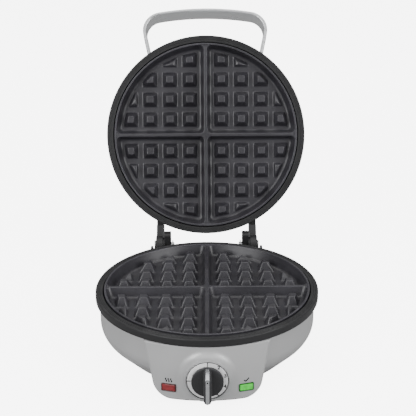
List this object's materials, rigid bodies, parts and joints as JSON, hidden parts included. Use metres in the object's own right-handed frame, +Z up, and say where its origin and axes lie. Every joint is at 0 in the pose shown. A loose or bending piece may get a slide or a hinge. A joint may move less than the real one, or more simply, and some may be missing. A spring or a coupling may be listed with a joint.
{
  "type": "waffle maker",
  "caption": "Round two-plate waffle maker with a hinged lid, loop handle, turning thermostat knob and two lamp lenses.",
  "frame": {"origin": "middle of the footprint of the whole object with its lid open, on the surface it stands on", "axes": "+X to the right seen from the knob, +Y from the knob to the hinge, +Z up"},
  "size_m": [0.226, 0.4154, 0.3047],
  "materials": {
    "silver_paint": "satin silver paint",
    "panel_silver": "satin silver paint",
    "black_resin": "moulded heat-resistant resin",
    "foot_rubber": "matte",
    "nonstick": "satin non-stick coating on cast aluminium",
    "element_sheath": "dull annealed",
    "sheet_steel": "plain",
    "steel_screw": "zinc plated",
    "ceramic": "glazed",
    "dial_silver": "satin",
    "red_lens": "clear red",
    "green_lens": "clear green",
    "lamp_glass": "clear",
    "lead_sleeve": "woven glass sleeve",
    "knob_resin": "fine grain",
    "bright_trim": "polished",
    "brushed_cover": "straight brushed",
    "cast_handle": "satin"
  },
  "bodies": {
    "base": {"base_housing": "silver_paint", "control_panel": "panel_silver", "base_bezel_ring": "black_resin", "rear_stand": "black_resin", "base_cover": "black_resin", "base_cover_screws": "steel_screw", "rubber_feet": "foot_rubber", "stand_screws": "steel_screw", "cord_inlet": "foot_rubber", "lower_grid_plate": "nonstick", "lower_heating_element": "element_sheath", "lower_element_clips": "sheet_steel", "lower_heat_shield": "sheet_steel", "lower_plate_screws": "steel_screw", "thermostat_body": "ceramic", "thermostat_bracket": "sheet_steel", "thermostat_screws": "steel_screw", "dial_ring": "dial_silver", "heating_lens": "red_lens", "ready_lens": "green_lens", "neon_lamps": "lamp_glass", "terminal_block": "ceramic", "thermal_fuse": "ceramic", "base_wiring": "lead_sleeve", "hinge_pins": "steel_screw", "hinge_pin_clips": "sheet_steel"},
    "knob": {"control_knob": "knob_resin", "knob_pointer": "bright_trim", "thermostat_shaft": "steel_screw"},
    "lid": {"lid_cover": "brushed_cover", "lid_bezel_ring": "black_resin", "upper_grid_plate": "nonstick", "upper_heating_element": "element_sheath", "upper_element_clips": "sheet_steel", "upper_heat_shield": "sheet_steel", "upper_plate_screws": "steel_screw", "left_hinge_arm": "black_resin", "right_hinge_arm": "black_resin", "hinge_bushes": "ceramic", "hinge_arm_screws": "steel_screw", "lid_handle": "cast_handle", "handle_brackets": "sheet_steel", "handle_screws": "steel_screw"}
  },
  "joints": [
    {"name": "lid_hinge", "type": "hinge", "parent": "base", "child": "lid", "pos_m": [0, 0.05849, 0.0597], "axis": [1, 0, 0], "range_deg": [0, 109]},
    {"name": "knob_turn", "type": "hinge", "parent": "base", "child": "knob", "pos_m": [0, -0.18811, 0.032], "axis": [0, 1, 0], "range_deg": [-90, 147]}
  ]
}
